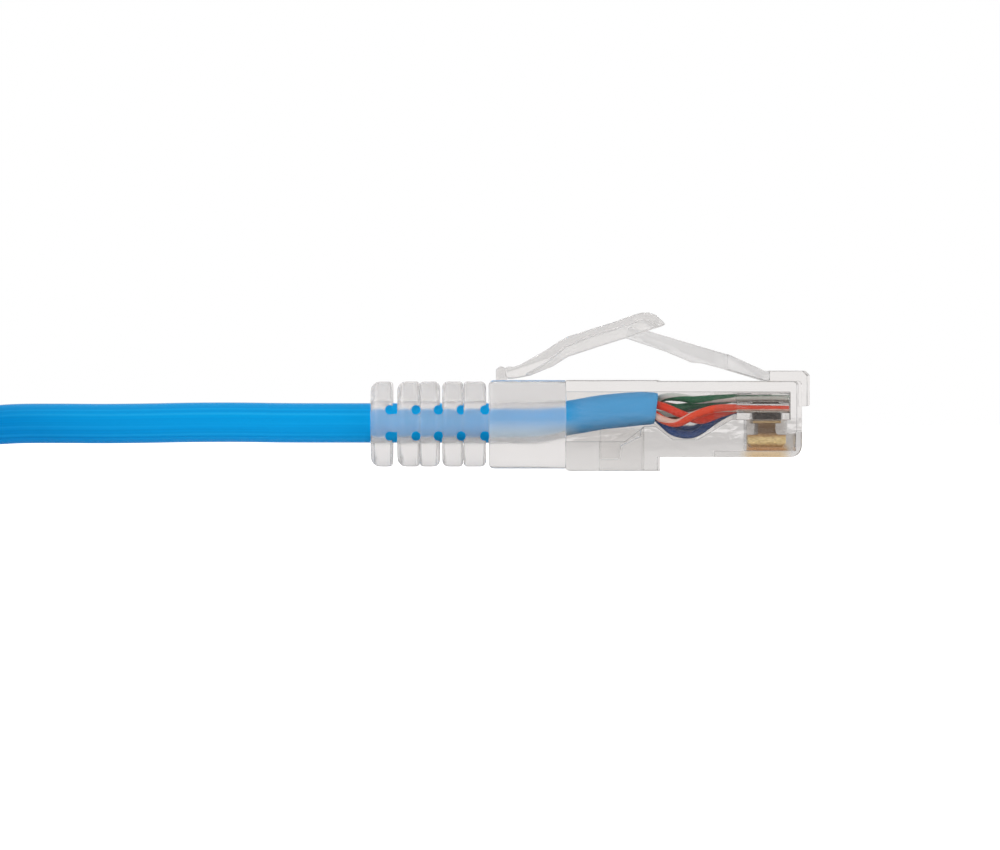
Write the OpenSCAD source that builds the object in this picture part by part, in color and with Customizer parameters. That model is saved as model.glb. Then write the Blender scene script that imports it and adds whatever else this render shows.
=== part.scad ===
/* [Plug] */
// Length of plug and boot together, boot tail to latch nub
unit_len = 38.6; // [38.4:0.1:39]
// Length of the plug, rear face to latch nub
plug_len = 21.46; // [21.4:0.02:21.6]
// Width of the plug
plug_w = 11.68; // [11.6:0.02:11.8]
// Height of the plug's rear section
plug_h = 7.95; // [7.9:0.05:8]
// Step up from the rear section's underside to the nose's
nose_lift = 1.2; // [1.1:0.05:1.3]
// Side wall of the plug
wall = 0.9; // [0.8:0.05:1]

/* [Contacts and wires] */
// Spacing of the contacts
pitch = 1.02; // [1:0.01:1.04]
// Thickness of a contact blade
blade = 0.35; // [0.3:0.05:0.35]
// Slot that a blade sits in
slot = 0.46; // [0.45:0.01:0.5]
// Diameter over a wire's insulation
wire_d = 0.72; // [0.6:0.02:0.74]
// Bore of a wire channel in the load bar
channel_d = 0.86; // [0.8:0.02:0.9]
// Height of the lower row of wires
row_low = 5.5; // [5.4:0.05:5.55]
// Height of the raised row, for the split pair on pins 3 and 6
row_high = 6.4; // [6.35:0.05:6.45]

/* [Latch and hood] */
// Width of the latch at its root
latch_w = 6.1; // [5.9:0.1:6.2]
// Width of the latch's tongue
tongue_w = 3.25; // [3:0.05:3.4]
// Width of the hood over the tongue
hood_w = 6; // [5.8:0.1:6.4]
// Thickness of the hood's skirts
skirt = 0.85; // [0.7:0.05:0.9]
// Clearance round the flexing roots of the latch and the hood
flex_gap = 0.1; // [0.08:0.01:0.12]

/* [Boot] */
// Width of the boot's body
boot_w = 11.6; // [11.2:0.1:11.68]
// Width of a strain relief rib
rib_w = 8.2; // [7.6:0.1:9]
// Height of the cord's centre at the boot
cord_z = 4.2; // [4.1:0.1:4.3]

/* [Cord] */
// Diameter of the cord
cord_d = 3.5; // [3.4:0.1:3.5]
// Straight part of the hank, between the centres of its end bends
hank_run = 54; // [54:1:60]
// Layers of cord in the hank
hank_layers = 3; // [3:1:4]
// Thickness of a tie's band
band = 0.4; // [0.4:0.1:0.5]
// Width of a tie's band
band_w = 4; // [3:0.5:6]
// Diameter over a tie's twisted ends
twist_d = 1.6; // [1.2:0.1:1.8]

/* [Hidden] */
$fn = 32;
ENDS = ["near", "far"];
PINS = [1 : 8];

// Stations along the plug. The nose points to +X, and the latch is on top.
nub_x = unit_len / 2;
front_x = nub_x - 0.85;
rear_x = nub_x - plug_len;
tail_x = -unit_len / 2;
nose_top = plug_h - 0.08;
roof = 6.95;
cavity_w = plug_w - 2 * wall;
bar_x = 12.8;
end_x = 17.5;

// Hinge lines of the two flexing arms
latch_pivot = [15.3, 8.36];
latch_root_r = 0.38;
hood_pivot = [-6.9, 8.62];
hood_root_r = 0.5;

// Pins 3 and 6 carry the split pair, which rides in the raised row.
function raised(i) = i == 3 || i == 6;
function pin_y(i) = (i - 4.5) * pitch;
function pin_z(i) = raised(i) ? row_high : row_low;

// Wires spread from two rows of four in the jacket to their pins.
WIRES = [
  [[3.3, -1.28, 5.06], [5.4, -1.28, 5.06], [6.5, -1.9, 4.45], [7.7, -2.7, 4.2], [9.3, -3.4, 4.95], [11, -3.57, 5.45]],
  [[3.3, -1.28, 5.88], [5.4, -1.28, 5.88], [6.6, -1.5, 5.6], [8.1, -1.8, 4.95], [9.7, -2.2, 4.45], [11.4, -2.5, 5]],
  [[3.3, 0.43, 5.88], [5.4, 0.43, 5.88], [6.6, -0.15, 6.45], [7.9, -0.55, 6.45], [9.3, -0.8, 6.25], [11.2, -1.5, 6.35]],
  [[3.3, -0.43, 5.06], [5.4, -0.43, 5.06], [6.3, -0.85, 4.3], [7.5, -1.15, 3.35], [9.2, -1, 3.25], [11.2, -0.5, 4.55]],
  [[3.3, 0.43, 5.06], [5.4, 0.43, 5.06], [6.3, 0.2, 4.5], [7.6, -0.2, 3.95], [9.3, 0, 3.7], [11.2, 0.5, 4.7]],
  [[3.3, -0.43, 5.88], [5.4, -0.43, 5.88], [6.6, -0.45, 5.6], [7.9, -0.25, 5.55], [9.3, 0.15, 5.75], [11.2, 1.4, 6.05]],
  [[3.3, 1.28, 5.06], [5.4, 1.28, 5.06], [6.6, 1.5, 4.9], [8, 2, 4.75], [9.6, 2.4, 4.95], [11.2, 2.55, 5.3]],
  [[3.3, 1.28, 5.88], [5.4, 1.28, 5.88], [6.6, 1.8, 5.75], [8, 2.7, 5.5], [9.6, 3.4, 5.4], [11.2, 3.55, 5.45]]
];
WIRE_COLOURS = ["#f0b090", "#f04a1c", "#c8dcc8", "#234f9a", "#c4d4e8", "#1e7a4a", "#d8c4b0", "#7a4a2a"];

// The jacket rises and is pressed flat as it enters the plug: x, centre height, width, height, squareness.
JACKET = [
  [tail_x, cord_z, cord_d, cord_d, 2], [-12, cord_z, cord_d, cord_d, 2], [-5, cord_z, cord_d, cord_d, 2],
  [-3.6, 4.35, 3.6, 3.35, 2.1], [-2.1, 4.62, 3.8, 3.1, 2.3], [0.9, 5.11, 4, 3.1, 2.5],
  [4.1, 5.43, 4.2, 3, 2.8], [5.5, 5.47, 4.3, 2.85, 3], [5.8, 5.47, 4.15, 2.7, 3]
];
bore_x = 3;

// Centre line of the cord: the lead from the near boot to the hank, and the tail from the hank to the far boot.
hank_y = -14;
hank_right = -71.3;
hank_left = hank_right - hank_run;
inner_r = 10.5 - cord_d / 2;
outer_r = 14 + cord_d / 2;
far_x = -110.6;
LEAD = [
  [tail_x, 0, cord_z], [-27, 0, 4.2], [-35, 0, 4.2], [-43, 0, 4.2], [-51, 0, 4.15], [-58, 0, 3.3],
  [-63, 0, 2.4], [-67, 0, 2.15], [-71.3, 0, 2.15]
];
TAIL = [
  [-71.3, -3.5, 2.15], [-75, -4.1, 2.2], [-78.3, -5.9, 2.5], [-81.3, -8.75, 3.1], [-84.3, -11.6, 3.8],
  [-87.4, -13.6, 4.1], [-90, hank_y, cord_z], [far_x - tail_x, hank_y, cord_z]
];

function unit(v) = v / norm(v);
function arc(c, r, a0, a1, n = 5) = [for (k = [0 : n]) c + r * [cos(a0 + (a1 - a0) * k / n), sin(a0 + (a1 - a0) * k / n)]];
function rounded(a, b, r, n = 4) = concat(
  arc([b.x - r, b.y - r], r, 0, 90, n), arc([a.x + r, b.y - r], r, 90, 180, n),
  arc([a.x + r, a.y + r], r, 180, 270, n), arc([b.x - r, a.y + r], r, 270, 360, n)
);

// A smooth curve through the points p, with n steps between each pair
function between(a, b, c, d, t) = (2 * b + (c - a) * t + (2 * a - 5 * b + 4 * c - d) * t * t
  + (3 * b - a - 3 * c + d) * t * t * t) / 2;
function smooth(p, n) = concat(
  [for (i = [0 : len(p) - 2], k = [0 : n - 1])
    between(p[max(i - 1, 0)], p[i], p[i + 1], p[min(i + 2, len(p) - 1)], k / n)],
  [p[len(p) - 1]]
);

// A closed solid through rings that all have the same number of points
module skin(rings) {
  n = len(rings[0]);
  last = len(rings) - 1;
  sides = [for (i = [0 : last - 1], k = [0 : n - 1], t = [0, 1])
    let (a = i * n + k, b = i * n + (k + 1) % n) t == 0 ? [a, a + n, b] : [b, a + n, b + n]];
  caps = [[for (k = [0 : n - 1]) k], [for (k = [n - 1 : -1 : 0]) last * n + k]];
  polyhedron(points = [for (r = rings, p = r) p], faces = concat(sides, caps));
}

// A round tube along the points p
module tube(p, d, sides = 8) skin([
  for (i = [0 : len(p) - 1])
    let (t = unit(p[min(i + 1, len(p) - 1)] - p[max(i - 1, 0)]), u = unit(cross([0, 0, 1], t)), v = cross(t, u))
      [for (k = [0 : sides - 1]) p[i] + d / 2 * (cos(360 * k / sides) * u + sin(360 * k / sides) * v)]
]);

// An outline in X and Z, w wide, centred on y
module side_solid(points, w, y = 0)
  translate([0, y, 0]) rotate([90, 0, 0]) linear_extrude(height = w, center = true) polygon(points);

// An outline in Y and Z, from x0 to x1
module end_solid(points, x0, x1)
  translate([x0, 0, 0]) rotate([90, 0, 90]) linear_extrude(height = x1 - x0) polygon(points);

module box(a, b) translate(a) cube(b - a);

// A round pin or hole across Y through the point c of the X and Z plane
module pin(c, r, w) translate([c.x, 0, c.y]) rotate([90, 0, 0]) cylinder(r = r, h = w, center = true);

// Side outline of the housing, with its rear section, step and nose
function housing_outline() = concat(
  arc([rear_x + 0.3, 0.3], 0.3, 180, 270), [[6.05, 0], [6.05, nose_lift]],
  arc([front_x - 1, nose_lift + 1], 1, 270, 360), arc([front_x - 0.3, nose_top - 0.3], 0.3, 0, 90),
  [[6.05, nose_top], [6.05, plug_h], [rear_x, plug_h]]
);

// Side outline of the cavity: jacket seat, wire basin, ramp and load bar shelf
function cavity_outline() = [
  [rear_x - 1, 2.54], [3, 2.54], [4.7, 3.85], [5.7, 3.85], [7.2, 2.7], [9.35, 2.7], [12.3, 4.45],
  [end_x, 4.45], [end_x, roof], [rear_x - 1, roof]
];

module housing() color([0.86, 0.87, 0.88, 0.45]) difference() {
  union() {
    side_solid(housing_outline(), plug_w);
    side_solid([[15.68, nose_top - 0.5], [front_x, nose_top - 0.5], [front_x, 5.69], [nub_x - 0.1, 5.69],
      [nub_x, 5.8], [nub_x, 8.4], [nub_x - 0.4, 8.8], [15.68, 8.8]], latch_w);
  }
  side_solid(cavity_outline(), cavity_w);
  box([0.75, -4, -1], [4.7, 4, 3.9]);
  box([10.85, -4.35, 0], [front_x + 1, 4.35, 1.76]);
  box([17.95, -4.35, 0], [front_x + 1, 4.35, 3.4]);
  for (i = PINS) translate([0, pin_y(i), 0]) {
    box([13.65, -slot / 2, 1], [front_x + 1, slot / 2, 3.3]);
    box([13.65, -slot / 2, 1], [17.25, slot / 2, 4.6]);
  }
  pin(latch_pivot, latch_root_r + flex_gap, latch_w + 1);
}

module load_bar() color([0.85, 0.88, 0.9, 0.5]) difference() {
  union() {
    box([bar_x, -cavity_w / 2 + 0.08, 4.5], [end_x - 0.1, cavity_w / 2 - 0.08, roof - 0.05]);
    for (s = [-1, 1]) side_solid([[10.85, 3.75], [12.25, 4.5], [bar_x + 0.5, 4.5], [bar_x + 0.5, roof - 0.05],
      [10.85, roof - 0.05]], 0.4, s * (cavity_w / 2 - 0.28));
  }
  for (i = PINS) translate([0, pin_y(i), 0]) {
    translate([bar_x - 1, 0, pin_z(i)]) rotate([0, 90, 0]) cylinder(d = channel_d, h = 6);
    box([14.15, -slot / 2, 4], [16.8, slot / 2, pin_z(i) + 0.45]);
  }
}

// Bar and tongue that are pressed up against the jacket when the plug is crimped
module jacket_anchor() color([0.84, 0.86, 0.88, 0.6])
  side_solid([[0.9, 1], [2.6, 1], [2.8, 2.2], [4.5, 3], [4.5, 3.6], [2.8, 3.82], [0.9, 3.62]], 7.6);

// Blade with a foot, a waist and insulation-piercing teeth
module contact(i) color([0.83, 0.65, 0.3]) let (neck = pin_z(i) - 0.45, tip = pin_z(i) + 0.33) side_solid(concat(
  [[14.2, 2.07], [16.8, 2.07], [17.12, 2.45], [17.12, 3.17]], arc([16.52, 3.47], 0.3, 270, 180, 3),
  [[16.22, 4.16], [16.69, 4.16], [16.69, neck]],
  [for (k = [2 : -1 : 0]) each [[14.85 + 0.82 * k, neck + 0.1], [14.67 + 0.82 * k, tip], [14.49 + 0.82 * k, neck + 0.1]]],
  [[14.26, neck], [14.26, 4.16], [14.67, 4.16], [14.67, 3.17], [13.81, 3.17], [13.81, 2.45]]
), blade, pin_y(i));

module wire(i) color(WIRE_COLOURS[i - 1])
  tube(concat(smooth(concat(WIRES[i - 1], [[bar_x + 0.2, pin_y(i), pin_z(i)]]), 3),
    [[end_x - 0.15, pin_y(i), pin_z(i)]]), wire_d);

function ring(s, sides = 20) = [
  for (k = [0 : sides - 1]) let (a = 360 * k / sides, c = cos(a), q = sin(a), p = 2 / s[4])
    [s[0], s[2] / 2 * sign(c) * pow(abs(c), p), s[1] + s[3] / 2 * sign(q) * pow(abs(q), p)]
];

module jacket() color([0.1, 0.55, 0.83]) difference() {
  skin([for (s = JACKET) ring(s)]);
  end_solid(rounded([-1.75, 4.5], [1.75, 6.44], 0.5), bore_x, 7);
}

// Ribs of the strain relief: start and end along X
RIBS = [[tail_x, -17.41], [-16.96, -15.01], [-14.96, -13.25], [-13.01, -11.2], [-11.12, -9.16]];

module boot() color([0.9, 0.9, 0.91, 0.6]) difference() {
  union() {
    end_solid(rounded([-boot_w / 2, 0.2], [boot_w / 2, plug_h], 0.9), -8.92, rear_x - 0.02);
    for (r = RIBS) end_solid(rounded([-rib_w / 2, 0.35], [rib_w / 2, plug_h - 0.09], 2), r[0], r[1]);
    for (s = [-1, 1]) box([-17.5, s * 2.8 - 0.9, cord_z - 0.72], [-8.8, s * 2.8 + 0.9, cord_z + 0.72]);
    for (x = [-15.1, -11.3], z = [0.9, plug_h - 2.2]) box([x, -1.5, z], [x + 0.3, 1.5, z + 1.4]);
    side_solid([[-8.28, plug_h - 0.3], [-7.52, plug_h - 0.3], [-7.52, 9.1], [-7.75, 9.2], [-8.28, 8.9]], hood_w);
  }
  translate([tail_x - 1, 0, cord_z]) rotate([0, 90, 0]) cylinder(d = cord_d + 0.06, h = 15.4);
  end_solid(rounded([-2.1, 2.3], [2.1, 6.35], 1), -5, 0);
}

// Side outline of the hood: its back, its curled front lip and its skirts' lower edge
function hood_back() = [
  [-6.18, 9.3], [-3.79, 10.65], [-2.62, 11.46], [-1.87, 11.83], [0, 12.43], [1.85, 13], [3.69, 13.67],
  [4.58, 13.91], [5.19, 13.91], [5.81, 13.67], [6.42, 13.1], [6.64, 12.86]
];

module hood() color([0.9, 0.9, 0.91, 0.6]) {
  difference() {
    side_solid(concat([[-6.9, 9.1]], hood_back(), [[5.06, 12.34], [3.15, 11.69], [0.88, 10.98], [-1.87, 10.08],
      [-3.21, 9.23], [-5.2, 8.42], [-6.9, 8.14]]), hood_w);
    side_solid([[-5.64, 7], [-5.64, 8.62], [-4.32, 9.3], [-3.44, 9.9], [-2.2, 10.85], [0, 11.78], [1.85, 12.35],
      [3.69, 13.02], [4.6, 13.28], [5.3, 13.2], [5.95, 12.95], [6.05, 12.5], [6.05, 12], [8, 12], [8, 7]], hood_w - 2 * skirt);
  }
  pin(hood_pivot, hood_root_r, hood_w);
}

module latch() color([0.86, 0.87, 0.88, 0.6]) {
  side_solid([[15.3, 8.74], [14.99, 8.96], [12.13, 10.25], [12.13, 8.93], [15.3, 7.98]], latch_w);
  side_solid([[12.2, 10.22], [5.1, 12.33], [3.5, 12.68], [3.25, 12.55], [3.25, 11.71], [6.78, 10.53], [9.04, 9.57],
    [10.03, 9.48], [12.2, 8.9]], tongue_w);
  pin(latch_pivot, latch_root_r, latch_w);
}

// The far end is the same plug, laid in the middle of the hank and facing the other way.
module far_end() translate([far_x, hank_y, 0]) rotate([0, 0, 180]) children();

function stadium(r) = concat(
  arc([hank_right, hank_y], r, -90, 90, 24), arc([hank_left, hank_y], r, 90, 270, 24)
);

module cord_lead() color([0.07, 0.57, 0.84]) tube(LEAD, cord_d);
module cord_tail() color([0.07, 0.57, 0.84]) tube(TAIL, cord_d);

module cord_hank() color([0.07, 0.57, 0.84]) translate([0, 0, band])
  linear_extrude(height = hank_layers * cord_d) difference() {
    polygon(stadium(outer_r));
    polygon(stadium(inner_r));
  }

// A coated wire tie round each side of the hank, with its ends twisted together on top
module cord_ties() color([0.12, 0.12, 0.13]) let (x = (hank_right + hank_left - band_w) / 2)
  for (s = [-1, 1]) translate([0, hank_y, 0]) {
    top = hank_layers * cord_d + 2 * band;
    mid = s * (inner_r + outer_r) / 2;
    half = (outer_r - inner_r) / 2;
    difference() {
      end_solid(rounded([mid - half - band, 0], [mid + half + band, top], 0.8), x, x + band_w);
      box([x - 1, mid - half, band], [x + band_w + 1, mid + half, top - band]);
    }
    translate([x + band_w / 2, mid, top + twist_d / 2 - 0.2]) rotate([0, 90, 0]) cylinder(d = twist_d, h = 12);
  }

module sub_part(name) {
  if (name == "housing") housing();
  if (name == "load_bar") load_bar();
  if (name == "jacket_anchor") jacket_anchor();
  if (name == "boot") boot();
  if (name == "latch") latch();
  if (name == "hood") hood();
  if (name == "jacket") jacket();
  for (i = PINS) {
    if (name == str("contact_", i)) contact(i);
    if (name == str("wire_", i)) wire(i);
  }
}

PIECES = concat(
  ["housing", "load_bar", "jacket_anchor", "boot", "latch", "hood", "jacket"],
  [for (i = PINS) str("contact_", i)],
  [for (i = PINS) str("wire_", i)]
);

for (n = PIECES) {
  sub_part(n);
  far_end() sub_part(n);
}
cord_lead();
cord_hank();
cord_tail();
cord_ties();
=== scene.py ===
from math import cos, pi, radians, sin

import bpy
from mathutils import Matrix, Vector


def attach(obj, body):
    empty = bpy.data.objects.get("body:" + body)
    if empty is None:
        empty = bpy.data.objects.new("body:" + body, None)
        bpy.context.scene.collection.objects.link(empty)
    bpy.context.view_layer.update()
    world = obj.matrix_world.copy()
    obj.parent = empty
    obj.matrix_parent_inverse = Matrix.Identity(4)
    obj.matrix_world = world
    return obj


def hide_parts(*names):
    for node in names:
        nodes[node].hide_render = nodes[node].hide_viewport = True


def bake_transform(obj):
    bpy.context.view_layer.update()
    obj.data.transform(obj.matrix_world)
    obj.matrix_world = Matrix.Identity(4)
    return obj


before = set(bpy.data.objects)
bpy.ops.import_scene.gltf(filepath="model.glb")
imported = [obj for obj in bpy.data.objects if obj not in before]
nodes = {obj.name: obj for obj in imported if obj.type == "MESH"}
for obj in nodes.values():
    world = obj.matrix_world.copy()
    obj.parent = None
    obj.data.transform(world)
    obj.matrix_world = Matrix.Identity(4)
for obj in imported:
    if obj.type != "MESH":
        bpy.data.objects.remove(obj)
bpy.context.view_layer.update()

# Sizes and places are in millimetres, X along the plug and Z up, and MM turns them into the frame's metres.
MM = 0.001
PINS = range(1, 9)
PITCH = 1.02
CORD_D = 3.5
CORD_Z = 4.2
WIRE_D = 0.72
# The wires of pins 3 and 6 lie in the high row
LOW_ROW, HIGH_ROW = 5.5, 6.4
# The boot's tail and the plug's rear face
TAIL_X, REAR_X = -19.3, -2.16
LATCH_W, TONGUE_W, HOOD_W, SKIRT = 6.1, 3.25, 6.0, 0.85

# The hank: the centres of its end bends, the radii of its two columns and the heights of its layers
BAND = 0.4
BAND_W = 4.0
HANK_RIGHT, HANK_LEFT, HANK_Y = -71.3, -125.3, -14.0
OUTER, INNER = 14.0, 10.5
LAYERS = 3
LAYER = [BAND + CORD_D * (k + 0.5) for k in range(LAYERS)]
# The far end lies in the middle of the hank, turned half round
FAR_X = -110.6
FAR_END = Matrix.Translation((FAR_X * MM, HANK_Y * MM, 0)) @ Matrix.Rotation(pi, 4, "Z")


# ---------------------------------------------------------------- camera

LENS = 183.07
CAMERA_PLACE = (-0.007925, -0.45, 0.00402)


def set_camera():
    """A long lens, level with the plug and square on to its side."""
    data = bpy.data.cameras.new("camera")
    data.sensor_width = 36
    data.lens = LENS
    data.clip_start = 0.01
    data.clip_end = 20
    camera = bpy.data.objects.new("camera", data)
    camera.location = CAMERA_PLACE
    camera.rotation_euler = (radians(90), 0, 0)
    bpy.context.scene.collection.objects.link(camera)
    bpy.context.scene.camera = camera


# ---------------------------------------------------------------- curves

def smooth(points, steps):
    """A smooth curve through the points, with a number of steps between each pair."""
    p = [Vector(q) for q in points]
    line = []
    for i in range(len(p) - 1):
        a, b, c, d = p[max(i - 1, 0)], p[i], p[i + 1], p[min(i + 2, len(p) - 1)]
        for k in range(steps):
            t = k / steps
            line.append((2 * b + (c - a) * t + (2 * a - 5 * b + 4 * c - d) * t ** 2
                         + (3 * b - a - 3 * c + d) * t ** 3) / 2)
    return line + [p[-1]]


def run(start, end, steps=7):
    """Points of a straight run, with its end left to the next stretch. It eases to a new side or height."""
    points = []
    for k in range(steps):
        t = k / steps
        ease = t * t * (3 - 2 * t)
        points.append((start[0] + (end[0] - start[0]) * t,
                       start[1] + (end[1] - start[1]) * ease,
                       start[2] + (end[2] - start[2]) * ease))
    return points


def end_bend(centre_x, radius, turn_from, z_from, z_to, steps=12, done_by=0.83):
    """Points of a half turn that may climb or sink to the next layer on its way."""
    points = []
    for k in range(steps):
        t = k / steps
        angle = radians(turn_from + 180 * t)
        climb = min(t / done_by, 1)
        climb = climb * climb * (3 - 2 * climb)
        points.append((centre_x + radius * cos(angle), HANK_Y + radius * sin(angle),
                       z_from + (z_to - z_from) * climb))
    return points


def cord_route():
    """The cord's centre line in millimetres: near boot, lead, wound hank, and into the far boot."""
    low, middle, high = LAYER
    route = [(TAIL_X, 0, 4.2), (-23, 0, 4.2), (-27, 0, 4.21), (-31, 0, 4.26), (-35, 0, 4.25), (-39, 0, 4.18),
             (-43, 0, 4.14), (-47, 0, 4.16), (-51, 0, 4.12), (-55, 0, 3.8), (-58, 0, 3.3), (-61, 0, 2.75),
             (-63, 0, 2.4), (-67, 0, low)]
    # Outer column, from the lowest layer up
    for z, z_next in ((low, middle), (middle, high)):
        route += run((HANK_RIGHT, HANK_Y + OUTER, z), (HANK_LEFT, HANK_Y + OUTER, z))
        route += end_bend(HANK_LEFT, OUTER, 90, z, z)
        route += run((HANK_LEFT, HANK_Y - OUTER, z), (HANK_RIGHT, HANK_Y - OUTER, z))
        route += end_bend(HANK_RIGHT, OUTER, -90, z, z_next)
    route += run((HANK_RIGHT, HANK_Y + OUTER, high), (HANK_LEFT, HANK_Y + OUTER, high))
    route += end_bend(HANK_LEFT, OUTER, 90, high, high)
    route += run((HANK_LEFT, HANK_Y - OUTER, high), (HANK_RIGHT, HANK_Y - INNER, high))
    route += end_bend(HANK_RIGHT, INNER, -90, high, high)
    # Inner column, from the top layer down
    for z, z_next in ((high, middle), (middle, low)):
        route += run((HANK_RIGHT, HANK_Y + INNER, z), (HANK_LEFT, HANK_Y + INNER, z))
        route += end_bend(HANK_LEFT, INNER, 90, z, z_next)
        route += run((HANK_LEFT, HANK_Y - INNER, z_next), (HANK_RIGHT, HANK_Y - INNER, z_next))
        route += end_bend(HANK_RIGHT, INNER, -90, z_next, z_next)
    tail = [(-71.3, -3.5, 2.15), (-75, -4.1, 2.2), (-78.3, -5.9, 2.5), (-81.3, -8.75, 3.1),
            (-84.3, -11.6, 3.8), (-87.4, -13.6, 4.1), (-90, -14, 4.2), (-91.3, -14, 4.2)]
    return smooth(route + tail, 4)


# ---------------------------------------------------------------- making and finishing

def drop_selection():
    bpy.ops.object.select_all(action="DESELECT")


def take(piece):
    drop_selection()
    piece.select_set(True)
    bpy.context.view_layer.objects.active = piece


def apply_all(piece):
    take(piece)
    for modifier in list(piece.modifiers):
        bpy.ops.object.modifier_apply(modifier=modifier.name)


def drawn_round(name, line, diameter, round_steps=6):
    """A round rod drawn along a line of points in millimetres. Its UV map runs round it and along it."""
    drop_selection()
    bpy.ops.curve.primitive_nurbs_path_add()
    rod = bpy.context.object
    rod.name = name
    rod.data.splines.clear()
    spline = rod.data.splines.new("POLY")
    spline.points.add(len(line) - 1)
    for point, place in zip(spline.points, line):
        point.co = (*(Vector(place) * MM), 1)
    rod.data.dimensions = "3D"
    rod.data.twist_mode = "Z_UP"
    rod.data.bevel_depth = diameter / 2 * MM
    rod.data.bevel_resolution = round_steps
    rod.data.use_fill_caps = True
    take(rod)
    bpy.ops.object.convert(target="MESH")
    rod = bpy.context.object
    # Only the rims of the two caps are open, and only they are welded: turns of the cord may touch.
    bpy.ops.object.mode_set(mode="EDIT")
    bpy.ops.mesh.select_mode(type="VERT")
    bpy.ops.mesh.select_all(action="DESELECT")
    bpy.ops.mesh.select_non_manifold()
    bpy.ops.mesh.remove_doubles(threshold=0.001 * MM)
    bpy.ops.object.mode_set(mode="OBJECT")
    bpy.ops.object.shade_smooth_by_angle(angle=radians(50))
    return rod


def moulded_blank(name, outline, width):
    """A flat outline in X and Z, in millimetres, pushed across Y to its width."""
    drop_selection()
    bpy.ops.mesh.primitive_circle_add(vertices=len(outline), radius=0.01, fill_type="NGON")
    blank = bpy.context.object
    blank.name = name
    for corner, (x, z) in zip(blank.data.vertices, outline):
        corner.co = (x * MM, -width / 2 * MM, z * MM)
    bpy.ops.object.mode_set(mode="EDIT")
    bpy.ops.mesh.select_all(action="SELECT")
    bpy.ops.mesh.extrude_region_move(TRANSFORM_OT_translate={"value": (0, width * MM, 0)})
    bpy.ops.mesh.select_all(action="SELECT")
    bpy.ops.mesh.normals_make_consistent(inside=False)
    bpy.ops.object.mode_set(mode="OBJECT")
    return blank


def block(name, low, high):
    """A rectangular block between two corners in millimetres, its place in its mesh."""
    drop_selection()
    bpy.ops.mesh.primitive_cube_add(size=1)
    piece = bpy.context.object
    piece.name = name
    for corner in piece.data.vertices:
        corner.co = [(low[i] if corner.co[i] < 0 else high[i]) * MM for i in range(3)]
    return piece


def round_bar(name, start, end, radius, sides=32):
    """A round bar between two points in millimetres."""
    start, end = Vector(start) * MM, Vector(end) * MM
    drop_selection()
    bpy.ops.mesh.primitive_cylinder_add(vertices=sides, radius=radius * MM, depth=(end - start).length)
    bar = bpy.context.object
    bar.name = name
    turn = Vector((0, 0, 1)).rotation_difference(end - start).to_matrix().to_4x4()
    bar.data.transform(Matrix.Translation((start + end) / 2) @ turn)
    return bar


def soften(piece, width, segments=2, angle=30):
    """Small round edges, as a mould leaves them."""
    bevel = piece.modifiers.new("round_edges", "BEVEL")
    bevel.width = width * MM
    bevel.segments = segments
    bevel.limit_method = "ANGLE"
    bevel.angle_limit = radians(angle)
    bevel.use_clamp_overlap = True
    apply_all(piece)


def round_chosen(piece, chosen, radius, segments, clamp=False):
    """Rounds the edges whose two corners pass a test."""
    take(piece)
    bpy.ops.object.mode_set(mode="EDIT")
    bpy.ops.mesh.select_mode(type="EDGE")
    bpy.ops.mesh.select_all(action="DESELECT")
    bpy.ops.object.mode_set(mode="OBJECT")
    corners = piece.data.vertices
    for edge in piece.data.edges:
        a, b = (corners[v].co for v in edge.vertices)
        edge.select = chosen(a, b)
    bpy.ops.object.mode_set(mode="EDIT")
    bpy.ops.mesh.bevel(offset=radius * MM, segments=segments, affect="EDGES", clamp_overlap=clamp)
    bpy.ops.object.mode_set(mode="OBJECT")


def round_long_edges(piece, radius, segments=6):
    """Rounds the edges that run along X."""
    round_chosen(piece, lambda a, b: abs((b - a).normalized().x) > 0.99, radius, segments)


def round_end(piece, x, radius, segments=4):
    """Rounds the edges of the face at x."""
    def on_face(a, b):
        return abs(a.x - x * MM) < 0.001 * MM and abs(b.x - x * MM) < 0.001 * MM

    round_chosen(piece, on_face, radius, segments, clamp=True)


def combine(piece, others, operation):
    """Welds other shapes on to a piece, or cuts them out of it. The others are used up.
    It works a thousand times larger, where small features are well above the tool's own tolerance."""
    grow = Matrix.Scale(1 / MM, 4)
    piece.data.transform(grow)
    for other in others:
        other.data.transform(grow)
        boolean = piece.modifiers.new(operation.lower(), "BOOLEAN")
        boolean.operation = operation
        boolean.solver = "EXACT"
        boolean.object = other
        apply_all(piece)
        bpy.data.objects.remove(other)
    piece.data.transform(grow.inverted())
    return piece


def clean_shading(piece, angle=35):
    """Merges the specks that cutting and rounding leave, and shades round faces smoothly."""
    take(piece)
    bpy.ops.object.mode_set(mode="EDIT")
    bpy.ops.mesh.select_all(action="SELECT")
    bpy.ops.mesh.remove_doubles(threshold=0.002 * MM)
    bpy.ops.mesh.dissolve_degenerate(threshold=0.001 * MM)
    bpy.ops.object.mode_set(mode="OBJECT")
    bpy.ops.object.shade_smooth_by_angle(angle=radians(angle))


def far_copy(piece, name):
    """A copy of a near piece, turned and placed as the far end's."""
    twin = piece.copy()
    twin.data = piece.data.copy()
    twin.data.transform(FAR_END)
    twin.name = twin.data.name = name
    bpy.context.scene.collection.objects.link(twin)
    return twin


# ---------------------------------------------------------------- finishes

def nodes_of(name):
    """A new material, its node tree and its shader."""
    material = bpy.data.materials.new(name)
    material.use_nodes = True
    tree = material.node_tree
    return material, tree, tree.nodes["Principled BSDF"]


def add(tree, kind, **settings):
    """A new node. Each setting is a property of the node if it has one of that name, or else an input."""
    node = tree.nodes.new(kind)
    for key, value in settings.items():
        if hasattr(node, key):
            setattr(node, key, value)
        else:
            node.inputs[key].default_value = value
    return node


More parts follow.
